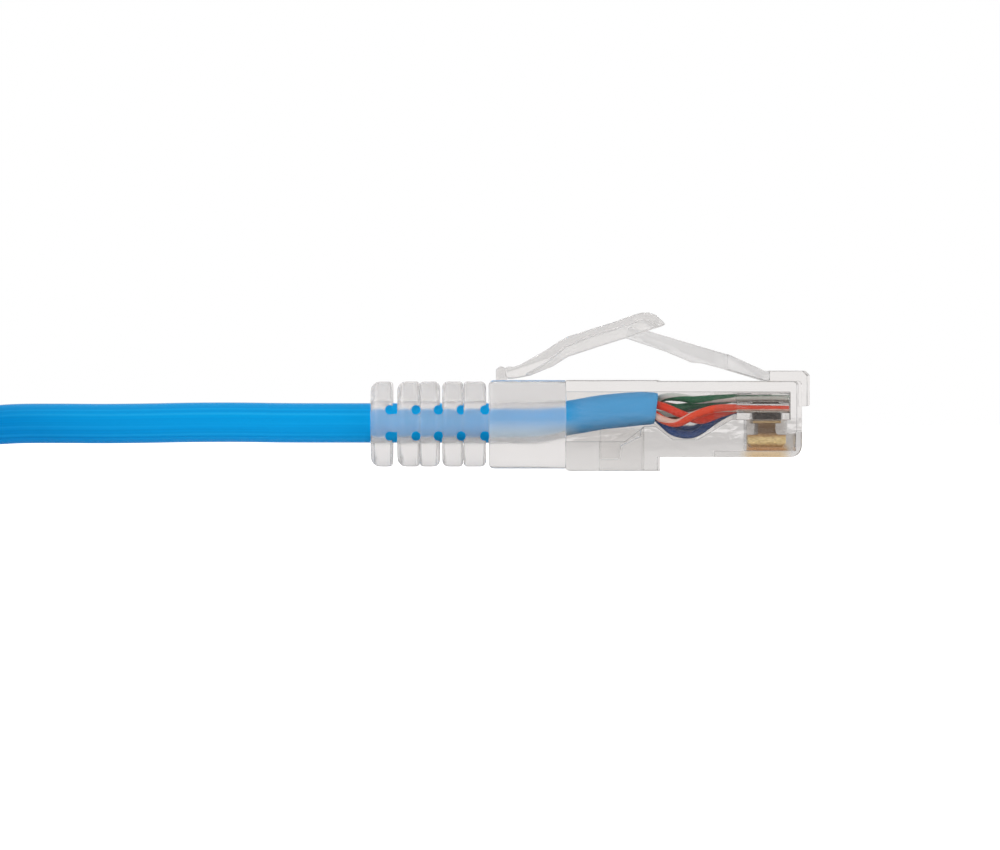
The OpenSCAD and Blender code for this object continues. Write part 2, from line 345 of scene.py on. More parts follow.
def grain(tree, scale, detail=3.0, stretch=(1, 1, 1)):
    """Noise over the piece's own place, finer with a larger scale, stretched along an axis."""
    place = add(tree, "ShaderNodeTexCoord")
    fit = add(tree, "ShaderNodeMapping")
    fit.inputs["Scale"].default_value = stretch
    noise = add(tree, "ShaderNodeTexNoise", Scale=scale, Detail=detail)
    tree.links.new(place.outputs["Object"], fit.inputs["Vector"])
    tree.links.new(fit.outputs["Vector"], noise.inputs["Vector"])
    return noise


def spread(tree, noise, low, high, from_low=0.3, from_high=0.7):
    """A number between low and high that follows the noise."""
    ramp = add(tree, "ShaderNodeMapRange")
    ramp.inputs["From Min"].default_value = from_low
    ramp.inputs["From Max"].default_value = from_high
    ramp.inputs["To Min"].default_value = low
    ramp.inputs["To Max"].default_value = high
    tree.links.new(noise.outputs["Fac"], ramp.inputs["Value"])
    return ramp


def shades(tree, source, stops):
    """Colours along a ramp, as (position, colour) pairs, driven by a number."""
    ramp = add(tree, "ShaderNodeValToRGB")
    while len(ramp.color_ramp.elements) < len(stops):
        ramp.color_ramp.elements.new(0.5)
    for element, (position, colour) in zip(ramp.color_ramp.elements, stops):
        element.position = position
        element.color = (*colour, 1)
    tree.links.new(source, ramp.inputs["Fac"])
    return ramp


def ripple(tree, shader, noises, strengths, distance=0.05):
    """Bump from one or more noises, laid one on the other."""
    below = None
    for noise, strength in zip(noises, strengths):
        bump = add(tree, "ShaderNodeBump")
        bump.inputs["Strength"].default_value = strength
        bump.inputs["Distance"].default_value = distance * MM
        tree.links.new(noise.outputs["Fac"], bump.inputs["Height"])
        if below is not None:
            tree.links.new(below.outputs["Normal"], bump.inputs["Normal"])
        below = bump
    tree.links.new(below.outputs["Normal"], shader.inputs["Normal"])


def let_lamps_through(tree, shader, share):
    """Clear plastic throws only a faint shadow."""
    path = add(tree, "ShaderNodeLightPath")
    weaken = add(tree, "ShaderNodeMath", operation="MULTIPLY")
    weaken.inputs[1].default_value = share
    open_air = add(tree, "ShaderNodeBsdfTransparent")
    mix = add(tree, "ShaderNodeMixShader")
    out = tree.nodes["Material Output"]
    tree.links.new(path.outputs["Is Shadow Ray"], weaken.inputs[0])
    tree.links.new(weaken.outputs[0], mix.inputs["Fac"])
    tree.links.new(shader.outputs["BSDF"], mix.inputs[1])
    tree.links.new(open_air.outputs["BSDF"], mix.inputs[2])
    tree.links.new(mix.outputs["Shader"], out.inputs["Surface"])


# How the painted reflection of the gold fades in round the contacts' feet: axis, none from here, all from
# here
PAINTED_GOLD_REFLECTION_FADES = (("X", 13.4, 14.2), ("X", 17.6, 17.0), ("Z", 2.6, 1.4))


def clear_plastic(name, tint, clearness, roughness, ior=1.5, wave=0.12, through=0.9, tooth=0.02, painted_gold_reflection=None):
    """Moulded see-through plastic, with faint flow lines and a little haze.
    A painted gold reflection is the gold's colour, painted into the plastic round the contacts' feet."""
    material, tree, shader = nodes_of(name)
    shader.inputs["Transmission Weight"].default_value = clearness
    shader.inputs["IOR"].default_value = ior
    flow = grain(tree, 260, 2.0, (1, 2.5, 2.5))
    fine = grain(tree, 2600, 3.0)
    tint_ramp = shades(tree, flow.outputs["Fac"], [(0.3, [c * 0.985 for c in tint]), (0.7, tint)])
    colour = tint_ramp.outputs["Color"]
    # The gold's colour painted round the contacts' feet is a painted reflection of the gold.
    if painted_gold_reflection is not None:
        place = add(tree, "ShaderNodeTexCoord")
        split = add(tree, "ShaderNodeSeparateXYZ")
        mix = add(tree, "ShaderNodeMix", data_type="RGBA")
        mix.inputs["B"].default_value = (*painted_gold_reflection, 1)
        tree.links.new(place.outputs["Object"], split.inputs["Vector"])
        share = None
        for axis, start, end in PAINTED_GOLD_REFLECTION_FADES:
            fade = add(tree, "ShaderNodeMapRange")
            fade.inputs["From Min"].default_value = start * MM
            fade.inputs["From Max"].default_value = end * MM
            tree.links.new(split.outputs[axis], fade.inputs["Value"])
            if share is not None:
                both = add(tree, "ShaderNodeMath", operation="MULTIPLY")
                tree.links.new(share, both.inputs[0])
                tree.links.new(fade.outputs["Result"], both.inputs[1])
                share = both.outputs[0]
            else:
                share = fade.outputs["Result"]
        tree.links.new(share, mix.inputs["Factor"])
        tree.links.new(colour, mix.inputs["A"])
        colour = mix.outputs["Result"]
    tree.links.new(colour, shader.inputs["Base Color"])
    haze = spread(tree, flow, roughness * 0.8, roughness * 1.2)
    tree.links.new(haze.outputs["Result"], shader.inputs["Roughness"])
    ripple(tree, shader, (flow, fine), (wave, tooth))
    let_lamps_through(tree, shader, through)
    return material


def drawn_streaks(tree, scale, along, detail=3.0):
    """Noise drawn out along a rod that drawn_round made. Its UV map's first number runs round the rod."""
    place = add(tree, "ShaderNodeUVMap")
    split = add(tree, "ShaderNodeSeparateXYZ")
    round_it = add(tree, "ShaderNodeMath", operation="MULTIPLY")
    round_it.inputs[1].default_value = 2 * pi
    across = add(tree, "ShaderNodeMath", operation="COSINE")
    up = add(tree, "ShaderNodeMath", operation="SINE")
    down_it = add(tree, "ShaderNodeMath", operation="MULTIPLY")
    down_it.inputs[1].default_value = along
    joined = add(tree, "ShaderNodeCombineXYZ")
    noise = add(tree, "ShaderNodeTexNoise", Scale=scale, Detail=detail)
    tree.links.new(place.outputs["UV"], split.inputs["Vector"])
    tree.links.new(split.outputs["X"], round_it.inputs[0])
    tree.links.new(round_it.outputs[0], across.inputs[0])
    tree.links.new(round_it.outputs[0], up.inputs[0])
    tree.links.new(split.outputs["Y"], down_it.inputs[0])
    tree.links.new(across.outputs[0], joined.inputs["X"])
    tree.links.new(up.outputs[0], joined.inputs["Y"])
    tree.links.new(down_it.outputs[0], joined.inputs["Z"])
    tree.links.new(joined.outputs["Vector"], noise.inputs["Vector"])
    return noise


# The pale painted sheen on the lower half of the cord inside the boot's body
PAINTED_LOW_SHEEN, PAINTED_LOW_SHEEN_SHARE = (0.66, 0.87, 1.0), 0.8


def cord_sheath(name, dark, middle, light, painted_sheen=None):
    """Soft PVC: streaks of shade along it, a fine grain and a low sheen.
    With a painted sheen colour it is the pressed end: that colour is painted inside the plug as a sheen."""
    material, tree, shader = nodes_of(name)
    slow = drawn_streaks(tree, 1.7, 26) if painted_sheen is None else grain(tree, 420, 2.0, (0.12, 1, 1))
    fine = grain(tree, 5200, 4.0)
    ramp = shades(tree, slow.outputs["Fac"], [(0.3, dark), (0.5, middle), (0.72, light)])
    colour = ramp.outputs["Color"]
    # The pressed end's paler colour inside the plug is a painted sheen.
    if painted_sheen is not None:
        place = add(tree, "ShaderNodeTexCoord")
        split = add(tree, "ShaderNodeSeparateXYZ")
        inside = add(tree, "ShaderNodeMapRange")
        inside.inputs["From Min"].default_value = REAR_X * MM
        inside.inputs["From Max"].default_value = (REAR_X + 1.5) * MM
        mix = add(tree, "ShaderNodeMix", data_type="RGBA")
        tree.links.new(place.outputs["Object"], split.inputs["Vector"])
        tree.links.new(split.outputs["X"], inside.inputs["Value"])
        tree.links.new(inside.outputs["Result"], mix.inputs["Factor"])
        tree.links.new(colour, mix.inputs["A"])
        mix.inputs["B"].default_value = (*painted_sheen, 1)
        # In the boot's body only the lower half gets the paler painted sheen, fading upwards.
        low = add(tree, "ShaderNodeMapRange")
        low.inputs["From Min"].default_value = (CORD_Z + 0.35) * MM
        low.inputs["From Max"].default_value = (CORD_Z - 0.9) * MM
        low.inputs["To Max"].default_value = PAINTED_LOW_SHEEN_SHARE
        body = add(tree, "ShaderNodeMapRange")
        body.inputs["From Min"].default_value = -8.95 * MM
        body.inputs["From Max"].default_value = -8.6 * MM
        painted_low_sheen_mask = add(tree, "ShaderNodeMath", operation="MULTIPLY")
        painted_low_sheen_mix = add(tree, "ShaderNodeMix", data_type="RGBA")
        painted_low_sheen_mix.inputs["B"].default_value = (*PAINTED_LOW_SHEEN, 1)
        tree.links.new(split.outputs["Z"], low.inputs["Value"])
        tree.links.new(split.outputs["X"], body.inputs["Value"])
        tree.links.new(low.outputs["Result"], painted_low_sheen_mask.inputs[0])
        tree.links.new(body.outputs["Result"], painted_low_sheen_mask.inputs[1])
        tree.links.new(painted_low_sheen_mask.outputs[0], painted_low_sheen_mix.inputs["Factor"])
        tree.links.new(colour, painted_low_sheen_mix.inputs["A"])
        tree.links.new(painted_low_sheen_mix.outputs["Result"], mix.inputs["A"])
        colour = mix.outputs["Result"]
    tree.links.new(colour, shader.inputs["Base Color"])
    tree.links.new(spread(tree, fine, 0.36, 0.5).outputs["Result"], shader.inputs["Roughness"])
    shader.inputs["Specular IOR Level"].default_value = 0.09
    ripple(tree, shader, (slow, fine), (0.12, 0.06), 0.08)
    return material


def insulation(name, colour, stripe=None, stripe_share=0.4):
    """Smooth wire insulation, with an ink stripe that winds slowly round it if it has one."""
    material, tree, shader = nodes_of(name)
    fine = grain(tree, 3000, 3.0)
    if stripe is None:
        ramp = shades(tree, fine.outputs["Fac"], [(0.3, [c * 0.85 for c in colour]), (0.7, colour)])
        tree.links.new(ramp.outputs["Color"], shader.inputs["Base Color"])
    else:
        place = add(tree, "ShaderNodeUVMap")
        split = add(tree, "ShaderNodeSeparateXYZ")
        wind = add(tree, "ShaderNodeMath", operation="MULTIPLY_ADD")
        wind.inputs[1].default_value = 1.3
        wrap = add(tree, "ShaderNodeMath", operation="FRACT")
        edge = add(tree, "ShaderNodeMath", operation="MULTIPLY_ADD")
        edge.inputs[1].default_value = 0.06
        tree.links.new(place.outputs["UV"], split.inputs["Vector"])
        tree.links.new(split.outputs["Y"], wind.inputs[0])
        tree.links.new(split.outputs["X"], wind.inputs[2])
        tree.links.new(fine.outputs["Fac"], edge.inputs[0])
        tree.links.new(wind.outputs[0], edge.inputs[2])
        tree.links.new(edge.outputs[0], wrap.inputs[0])
        ramp = shades(tree, wrap.outputs[0], [(0.0, stripe), (stripe_share - 0.03, stripe),
                                              (stripe_share, colour), (0.97, colour), (1.0, stripe)])
        tree.links.new(ramp.outputs["Color"], shader.inputs["Base Color"])
    tree.links.new(spread(tree, fine, 0.22, 0.38).outputs["Result"], shader.inputs["Roughness"])
    shader.inputs["Specular IOR Level"].default_value = 0.3
    ripple(tree, shader, (fine,), (0.04,), 0.02)
    return material


def gold_plate(name):
    """Gold over phosphor bronze, coloured by height: a painted highlight band across the foot and a painted
    highlight line at the shoulder, brown and dark above, with fine cuts.
    """
    material, tree, shader = nodes_of(name)
    shader.inputs["Metallic"].default_value = 0.4
    cut = grain(tree, 3800, 3.0, (1, 1, 2.2))
    slow = grain(tree, 700, 2.0)
    place = add(tree, "ShaderNodeTexCoord")
    split = add(tree, "ShaderNodeSeparateXYZ")
    height = add(tree, "ShaderNodeMapRange")
    height.inputs["From Min"].default_value = 2.0 * MM
    height.inputs["From Max"].default_value = 6.0 * MM
    tree.links.new(place.outputs["Object"], split.inputs["Vector"])
    tree.links.new(split.outputs["Z"], height.inputs["Value"])
    # Colours by height: the bright band across the foot (2.5 to 2.8 mm) and the bright line at the shoulder
    # (near 4.3 mm) are painted highlights.
    level = shades(tree, height.outputs["Result"], [
        (0.06, (0.50, 0.30, 0.12)), (0.12, (1.0, 0.78, 0.38)), (0.21, (1.0, 0.78, 0.38)),
        (0.27, (0.60, 0.36, 0.15)), (0.34, (0.20, 0.12, 0.06)), (0.54, (0.26, 0.16, 0.085)),
        (0.57, (0.85, 0.60, 0.30)), (0.61, (0.035, 0.02, 0.012))])
    marks = shades(tree, cut.outputs["Fac"], [(0.36, (0.62, 0.55, 0.48)), (0.55, (1.0, 1.0, 1.0))])
    blend = add(tree, "ShaderNodeMix", data_type="RGBA", blend_type="MULTIPLY")
    blend.inputs["Factor"].default_value = 0.8
    tree.links.new(level.outputs["Color"], blend.inputs["A"])
    tree.links.new(marks.outputs["Color"], blend.inputs["B"])
    tree.links.new(blend.outputs["Result"], shader.inputs["Base Color"])
    tree.links.new(spread(tree, cut, 0.1, 0.28).outputs["Result"], shader.inputs["Roughness"])
    ripple(tree, shader, (slow, cut), (0.9, 0.35), 0.05)
    return material


def tie_coating(name):
    """Black plastic over a wire, slightly shiny."""
    material, tree, shader = nodes_of(name)
    fine = grain(tree, 1800, 4.0)
    ramp = shades(tree, fine.outputs["Fac"], [(0.3, (0.010, 0.010, 0.011)), (0.7, (0.028, 0.028, 0.030))])
    tree.links.new(ramp.outputs["Color"], shader.inputs["Base Color"])
    tree.links.new(spread(tree, fine, 0.28, 0.5).outputs["Result"], shader.inputs["Roughness"])
    ripple(tree, shader, (fine,), (0.2,), 0.04)
    return material


def give(piece, material):
    piece.data.materials.clear()
    piece.data.materials.append(material)


def give_node(name, material):
    for slot in nodes[name].material_slots:
        slot.material = material


# ---------------------------------------------------------------- the plug's own pieces

# Ribs from the tail on: start, end, and how far the start's and the end's edges are rounded
RIBS = [(TAIL_X, -17.41, 0.8, 0.3), (-16.96, -15.01, 0.75, 0.3), (-14.96, -13.25, 0.3, 0.5),
        (-13.01, -11.2, 0.5, 0.3), (-11.12, -9.16, 0.3, 0.45)]
RIB_HALF_W, RIB_FOOT, RIB_TOP = 4.1, 0.35, 7.86
BODY_START, BODY_END = -8.92, REAR_X - 0.02
BODY_HALF_W, BODY_FOOT, BODY_TOP = 5.8, 0.2, 7.95
# The spines join the ribs on both sides of the cord, and the bridges join pairs of ribs above and below it
SPINE_START, SPINE_END, SPINE_Y, SPINE_HALF_W = -18.55, -8.4, 2.8, 0.88
BRIDGES = [-15.14, -11.33]
BRIDGE_LONG, BRIDGE_HALF_W = 0.34, 1.47
# The keyholes stand above and below the cord's centre by their rise
KEYHOLES = [-17.62, -15.31, -13.35, -11.34, -9.26]
KEYHOLE_R, KEYHOLE_RISE = 0.42, 1.15


def boot():
    """Body, ribs and spines in one piece, bored for the cord, with keyholes at the ends of the slots."""
    body = block("near_boot_shell", (BODY_START, -BODY_HALF_W, BODY_FOOT), (BODY_END, BODY_HALF_W, BODY_TOP))
    round_long_edges(body, 0.9)
    round_end(body, BODY_START, 0.45, 4)
    round_end(body, BODY_END, 0.1, 2)
    combine(body, [sleeve()], "DIFFERENCE")
    parts = []
    for k, (start, end, at_start, at_end) in enumerate(RIBS):
        rib = block(f"rib_{k}", (start, -RIB_HALF_W, RIB_FOOT), (end, RIB_HALF_W, RIB_TOP))
        round_long_edges(rib, 2.0)
        round_end(rib, start, at_start)
        round_end(rib, end, at_end)
        parts.append(combine(rib, [sleeve()], "DIFFERENCE"))
    for side in (-1, 1):
        parts.append(block("spine", (SPINE_START, side * SPINE_Y - SPINE_HALF_W, 3.41),
                           (SPINE_END, side * SPINE_Y + SPINE_HALF_W, 4.99)))
    for x in BRIDGES:
        for low, high in ((0.93, 2.2), (6.15, 7.3)):
            parts.append(block("bridge", (x, -BRIDGE_HALF_W, low), (x + BRIDGE_LONG, BRIDGE_HALF_W, high)))
    post = moulded_blank("post", [(-8.28, 7.55), (-7.4, 7.55), (-7.3, 8.2), (-7.5, 9.08), (-7.9, 9.2),
                                  (-8.28, 8.9)], HOOD_W)
    soften(post, 0.1)
    combine(body, parts, "UNION")
    for x in KEYHOLES:
        for z in (-KEYHOLE_RISE, KEYHOLE_RISE):
            for side in (-1, 1):
                hole = round_bar("keyhole", (x, side * 0.6, CORD_Z + z), (x, side * 6.3, CORD_Z + z),
                                 KEYHOLE_R, 24)
                combine(body, [hole], "DIFFERENCE")
    combine(body, [post], "UNION")
    clean_shading(body)
    return body


def hood():
    """The boot's hood: a roof and two skirts that cover the latch's tongue, curled down at the front."""
    outline = [(-7.45, 8.3), (-7.5, 9.0), (-7.3, 9.16), (-6.75, 9.14), (-6.18, 9.3), (-3.79, 10.65),
               (-2.62, 11.46), (-1.87, 11.83), (0, 12.43), (1.85, 13), (3.69, 13.67), (4.58, 13.91),
               (5.19, 13.91), (5.81, 13.67), (6.42, 13.1), (6.64, 12.86), (5.06, 12.34), (3.15, 11.69),
               (0.88, 10.98), (-1.87, 10.08), (-3.21, 9.23), (-5.2, 8.42), (-6.6, 8.14), (-7.2, 8.12)]
    inside = [(-5.64, 7), (-5.64, 8.62), (-4.32, 9.3), (-3.44, 9.9), (-2.2, 10.85), (0, 11.78), (1.85, 12.35),
              (3.69, 13.02), (4.6, 13.28), (5.3, 13.2), (5.95, 12.95), (6.05, 12.5), (6.05, 12), (8, 12),
              (8, 7)]
    shell = moulded_blank("near_hood_shell", outline, HOOD_W)
    hollow = moulded_blank("hollow", inside, HOOD_W - 2 * SKIRT)
    combine(shell, [hollow], "DIFFERENCE")
    soften(shell, 0.13, 3, 40)
    clean_shading(shell)
    return shell


def latch():
    """The locking latch: a broad root at the nose that steps down to a narrow tongue."""
    root = moulded_blank("near_latch_arm_moulding", [
        (15.8, 8.78), (15.3, 8.79), (14.99, 8.96), (12.13, 10.25), (12.13, 8.93), (15.3, 7.98), (15.8, 7.95)],
        LATCH_W)
    tongue = moulded_blank("tongue", [
        (12.3, 10.18), (12.2, 10.22), (5.1, 12.33), (3.5, 12.68), (3.25, 12.55), (3.25, 11.71), (6.78, 10.53),
        (9.04, 9.57), (10.03, 9.48), (12.2, 8.9), (12.5, 8.85)], TONGUE_W)
    combine(root, [tongue], "UNION")
    soften(root, 0.12, 3, 30)
    clean_shading(root)
    return root


# Stations along the jacket: x, height of its middle, width, height, and how boxy it is (2 is round)
JACKET = [(-19.3, 4.2, 3.5, 3.5, 2), (-12, 4.2, 3.5, 3.5, 2), (-5, 4.2, 3.5, 3.5, 2),
          (-3.6, 4.35, 3.6, 3.35, 2.1), (-2.1, 4.62, 3.8, 3.1, 2.3), (0.9, 5.11, 4.0, 3.1, 2.5),
          (4.1, 5.43, 4.2, 3.0, 2.8), (5.5, 5.47, 4.3, 2.85, 3), (5.8, 5.47, 4.15, 2.7, 3)]
JACKET_SIDES = 40


def between_stations(x):
    """The jacket's section at x, on a smooth curve through its stations."""
    last = len(JACKET) - 1
    for i in range(last):
        if JACKET[i][0] <= x <= JACKET[i + 1][0]:
            a, b, c, d = (JACKET[max(i - 1, 0)], JACKET[i], JACKET[i + 1], JACKET[min(i + 2, last)])
            t = (x - b[0]) / (c[0] - b[0])
            return [(2 * b[k] + (c[k] - a[k]) * t + (2 * a[k] - 5 * b[k] + 4 * c[k] - d[k]) * t ** 2
                     + (3 * b[k] - a[k] - 3 * c[k] + d[k]) * t ** 3) / 2 if k else x for k in range(5)]
    return list(JACKET[-1])


def ring_of(section, x, share=1.0, extra=0.0):
    """Corners of the jacket's section, a rounded shape between a circle and a box."""
    corners = []
    for j in range(JACKET_SIDES):
        angle = 2 * pi * j / JACKET_SIDES
        c, q, power = cos(angle), sin(angle), 2 / section[4]
        y = (section[2] / 2 * share + extra) * (abs(c) ** power) * (1 if c >= 0 else -1)
        z = (section[3] / 2 * share + extra) * (abs(q) ** power) * (1 if q >= 0 else -1)
        corners.append((x * MM, y * MM, (section[1] + z) * MM))
    return corners


def through_rings(name, rings):
    """A closed skin extruded from one ring to the next. Both ends are capped."""
    drop_selection()
    bpy.ops.mesh.primitive_circle_add(vertices=JACKET_SIDES, radius=CORD_D / 2 * MM, fill_type="NGON")
    rod = bpy.context.object
    rod.name = name
    bpy.ops.object.mode_set(mode="EDIT")
    # Picked by corner, each extruded ring keeps its corners in order.
    bpy.ops.mesh.select_mode(type="VERT")
    bpy.ops.mesh.select_all(action="SELECT")
    for k in range(len(rings) - 1):
        bpy.ops.mesh.extrude_region_move(TRANSFORM_OT_translate={"value": (0.1 * MM, 0, 0)})
    bpy.ops.object.mode_set(mode="OBJECT")
    for k, ring in enumerate(rings):
        for j, corner in enumerate(ring):
            rod.data.vertices[k * JACKET_SIDES + j].co = corner
    take(rod)
    bpy.ops.object.mode_set(mode="EDIT")
    bpy.ops.mesh.select_all(action="SELECT")
    bpy.ops.mesh.normals_make_consistent(inside=False)
    bpy.ops.object.mode_set(mode="OBJECT")
    return rod


def sleeve():
    """The bore that the cord fills, a hair wider than the cord. It starts clear of the boot's tail."""
    stations = [TAIL_X - 1, -12, -5.4, -4.9, -4.4, -3.9, -3.4, -2.9, -2.4, -1.9, -1.4]
    rings = [ring_of(between_stations(max(x, TAIL_X)), x, extra=0.03) for x in stations]
    return through_rings("sleeve", rings)


# The cut mouth of the jacket leans forward at the top, by this much for each millimetre of height
MOUTH_X, MOUTH_Z, MOUTH_SLANT = 5.8, 5.3, 0.13


def jacket():
    """The cord's sheath inside the boot and the plug, pressed flat towards its open mouth."""
    stations = [TAIL_X] + [TAIL_X + 0.65 * k for k in range(1, 36)] + [4.1, 4.6, 5.1, 5.5, 5.7, MOUTH_X]
    rings = [ring_of(between_stations(x), x) for x in stations]
    mouth = between_stations(MOUTH_X)
    for x, share in ((5.84, 0.96), (5.82, 0.88), (5.7, 0.84), (4.5, 0.80), (3.0, 0.78)):
        rings.append(ring_of(mouth, x, share))
    slanted = []
    for ring in rings:
        share = min(max((ring[0][0] / MM - 4.0) / 1.6, 0), 1)
        slanted.append([(x + MOUTH_SLANT * share * (z - MOUTH_Z * MM), y, z) for x, y, z in ring])
    sheath = through_rings("near_jacket_sheath", slanted)
    bpy.ops.object.shade_smooth_by_angle(angle=radians(50))
    return sheath


# Each wire's way from the jacket's mouth to the load bar, by pin
WIRES = {
    1: [(3.3, -1.28, 5.06), (5.4, -1.28, 5.06), (6.5, -1.9, 4.45), (7.7, -2.7, 4.2), (9.3, -3.4, 4.95),
        (11, -3.57, 5.45)],
    2: [(3.3, -1.28, 5.88), (5.4, -1.28, 5.88), (6.6, -1.5, 5.6), (8.1, -1.8, 4.95), (9.7, -2.2, 4.45),
        (11.4, -2.5, 5)],
    3: [(3.3, 0.43, 5.88), (5.4, 0.43, 5.88), (6.6, -0.15, 6.45), (7.9, -0.55, 6.45), (9.3, -0.8, 6.25),
        (11.2, -1.5, 6.35)],
    4: [(3.3, -0.43, 5.06), (5.4, -0.43, 5.06), (6.3, -0.85, 4.3), (7.5, -1.15, 3.35), (9.2, -1, 3.25),
        (11.2, -0.5, 4.55)],
    5: [(3.3, 0.43, 5.06), (5.4, 0.43, 5.06), (6.3, 0.2, 4.5), (7.6, -0.2, 3.95), (9.3, 0, 3.7),
        (11.2, 0.5, 4.7)],
    6: [(3.3, -0.43, 5.88), (5.4, -0.43, 5.88), (6.6, -0.45, 5.6), (7.9, -0.25, 5.55), (9.3, 0.15, 5.75),
        (11.2, 1.4, 6.05)],
    7: [(3.3, 1.28, 5.06), (5.4, 1.28, 5.06), (6.6, 1.5, 4.9), (8, 2, 4.75), (9.6, 2.4, 4.95),
        (11.2, 2.55, 5.3)],
    8: [(3.3, 1.28, 5.88), (5.4, 1.28, 5.88), (6.6, 1.8, 5.75), (8, 2.7, 5.5), (9.6, 3.4, 5.4),
        (11.2, 3.55, 5.45)],
}
BAR_START, WIRE_END = 13.0, 17.35


def wire(pin):
    """One insulated wire, from inside the jacket to its end by its contact."""
    y, z = (pin - 4.5) * PITCH, HIGH_ROW if pin in (3, 6) else LOW_ROW
    line = smooth(WIRES[pin] + [(BAR_START, y, z)], 6)
    line.append(Vector((WIRE_END, y, z)))
    return drawn_round(f"near_wire_core_{pin}", line, WIRE_D, 3)


# The twisted ends of a tie: two strands that wind round each other
STRAND_D, STRAND_R, STRAND_STEP, STRAND_TURN, STRAND_POINTS = 0.78, 0.36, 0.22, 0.62, 58


def tie(side):
    """A coated wire tie round one side of the hank: a flat band, and its ends twisted together on top."""
    middle = HANK_Y + side * (OUTER + INNER) / 2
    half_y = (OUTER - INNER) / 2 + CORD_D / 2
    x = (HANK_RIGHT + HANK_LEFT) / 2
    top = LAYERS * CORD_D + 2 * BAND
    band = block(f"tie_band_{'front' if side < 0 else 'back'}", (x - BAND_W / 2, middle - half_y - BAND, 0),
                 (x + BAND_W / 2, middle + half_y + BAND, top))
    round_long_edges(band, 0.85, 8)
    hole = block("inside", (x - 5, middle - half_y, BAND), (x + 5, middle + half_y, top - BAND))
    round_long_edges(hole, 0.45, 6)
    combine(band, [hole], "DIFFERENCE")
    soften(band, 0.1, 2)
    strands = []
    for phase in (0, pi):
        line = []
        for k in range(STRAND_POINTS):
            angle = STRAND_TURN * k + phase
            line.append((x - 1 + STRAND_STEP * k, middle + STRAND_R * cos(angle),
                         top + 0.42 + STRAND_R * sin(angle)))
        strands.append(drawn_round("twist", line, STRAND_D, 3))
    combine(band, strands, "UNION")
    clean_shading(band, 40)
    return band


def mould_edges(name, width, angle=40):
    """Rounds the edges of a piece that keeps the frame's own shape."""
    piece = nodes[name]
    weld = piece.modifiers.new("weld", "WELD")
    weld.merge_threshold = 0.0005 * MM
    flat = piece.modifiers.new("flat_faces", "DECIMATE")
    flat.decimate_type = "DISSOLVE"
    flat.angle_limit = radians(0.5)
    bevel = piece.modifiers.new("round_edges", "BEVEL")
    bevel.width = width * MM
    bevel.segments = 2
    bevel.limit_method = "ANGLE"
    bevel.angle_limit = radians(angle)
    bevel.harden_normals = True


# ---------------------------------------------------------------- studio

# Brightness of the air in front of the pieces and behind them, for all but the camera
AIR_FRONT, AIR_BACK = 0.3, 0.91
# Name, place and size in metres, and power. The front lamps stand to the sides, so that the plug's
# flat walls don't mirror them.
LAMPS = [("over", (-0.02, -0.1, 0.6), 0.7, 0.3), ("front_left", (-0.8, -0.62, 0.16), 0.9, 4.15),
         ("front_right", (0.8, -0.62, 0.16), 0.9, 4.15)]


def studio():
    scene = bpy.context.scene
    scene.view_settings.view_transform = "Standard"
    # The contacts lie behind many walls of clear plastic, so light needs many steps to get through.
    scene.cycles.max_bounces = 40
    scene.cycles.transmission_bounces = 40
    scene.cycles.transparent_max_bounces = 24
    world = bpy.data.worlds.new("studio_air")
    scene.world = world
    world.use_nodes = True
    tree = world.node_tree
    tree.nodes.clear()
    out = tree.nodes.new("ShaderNodeOutputWorld")
    path = tree.nodes.new("ShaderNodeLightPath")
    place = tree.nodes.new("ShaderNodeTexCoord")
    split = tree.nodes.new("ShaderNodeSeparateXYZ")
    ramp = tree.nodes.new("ShaderNodeValToRGB")
    rise = tree.nodes.new("ShaderNodeMath")
    rise.operation = "MULTIPLY_ADD"
    rise.inputs[1].default_value = 0.5
    rise.inputs[2].default_value = 0.5
    for element, (position, value) in zip(ramp.color_ramp.elements, ((0.0, AIR_FRONT), (1.0, AIR_BACK))):
        element.position = position
        element.color = (value, value * 0.975, value * 0.965, 1)
    seen = tree.nodes.new("ShaderNodeBackground")
    other = tree.nodes.new("ShaderNodeBackground")
    mix = tree.nodes.new("ShaderNodeMixShader")
    seen.inputs["Color"].default_value = (1, 1, 1, 1)
    seen.inputs["Strength"].default_value = 1.0
    tree.links.new(place.outputs["Generated"], split.inputs["Vector"])
    tree.links.new(split.outputs["Y"], rise.inputs[0])
    tree.links.new(rise.outputs[0], ramp.inputs["Fac"])
    tree.links.new(ramp.outputs["Color"], other.inputs["Color"])
    tree.links.new(path.outputs["Is Camera Ray"], mix.inputs["Fac"])
    tree.links.new(other.outputs["Background"], mix.inputs[1])
    tree.links.new(seen.outputs["Background"], mix.inputs[2])
    tree.links.new(mix.outputs["Shader"], out.inputs["Surface"])

    drop_selection()
    bpy.ops.mesh.primitive_plane_add(size=60)
    floor = bpy.context.object
    floor.name = "studio_floor"
    material, tree, shader = nodes_of("pale_floor")
    shader.inputs["Base Color"].default_value = (0.95, 0.945, 0.94, 1)
    shader.inputs["Roughness"].default_value = 0.9
    shader.inputs["Specular IOR Level"].default_value = 0.0
    shader.inputs["Emission Color"].default_value = (1, 1, 1, 1)
    seen_white = add(tree, "ShaderNodeLightPath")
    lift = add(tree, "ShaderNodeMath", operation="MULTIPLY")
    lift.inputs[1].default_value = 0.75
    tree.links.new(seen_white.outputs["Is Camera Ray"], lift.inputs[0])
    tree.links.new(lift.outputs[0], shader.inputs["Emission Strength"])
    give(floor, material)

    for name, place, size, watts in LAMPS:
        lamp = bpy.data.lights.new(name, "AREA")
        lamp.shape = "DISK"
        lamp.size = size
        lamp.energy = watts
        holder = bpy.data.objects.new(name, lamp)
        holder.location = place
        holder.rotation_euler = (-Vector(place)).to_track_quat("-Z", "Y").to_euler()
        bpy.context.scene.collection.objects.link(holder)


# ---------------------------------------------------------------- build

set_camera()
studio()
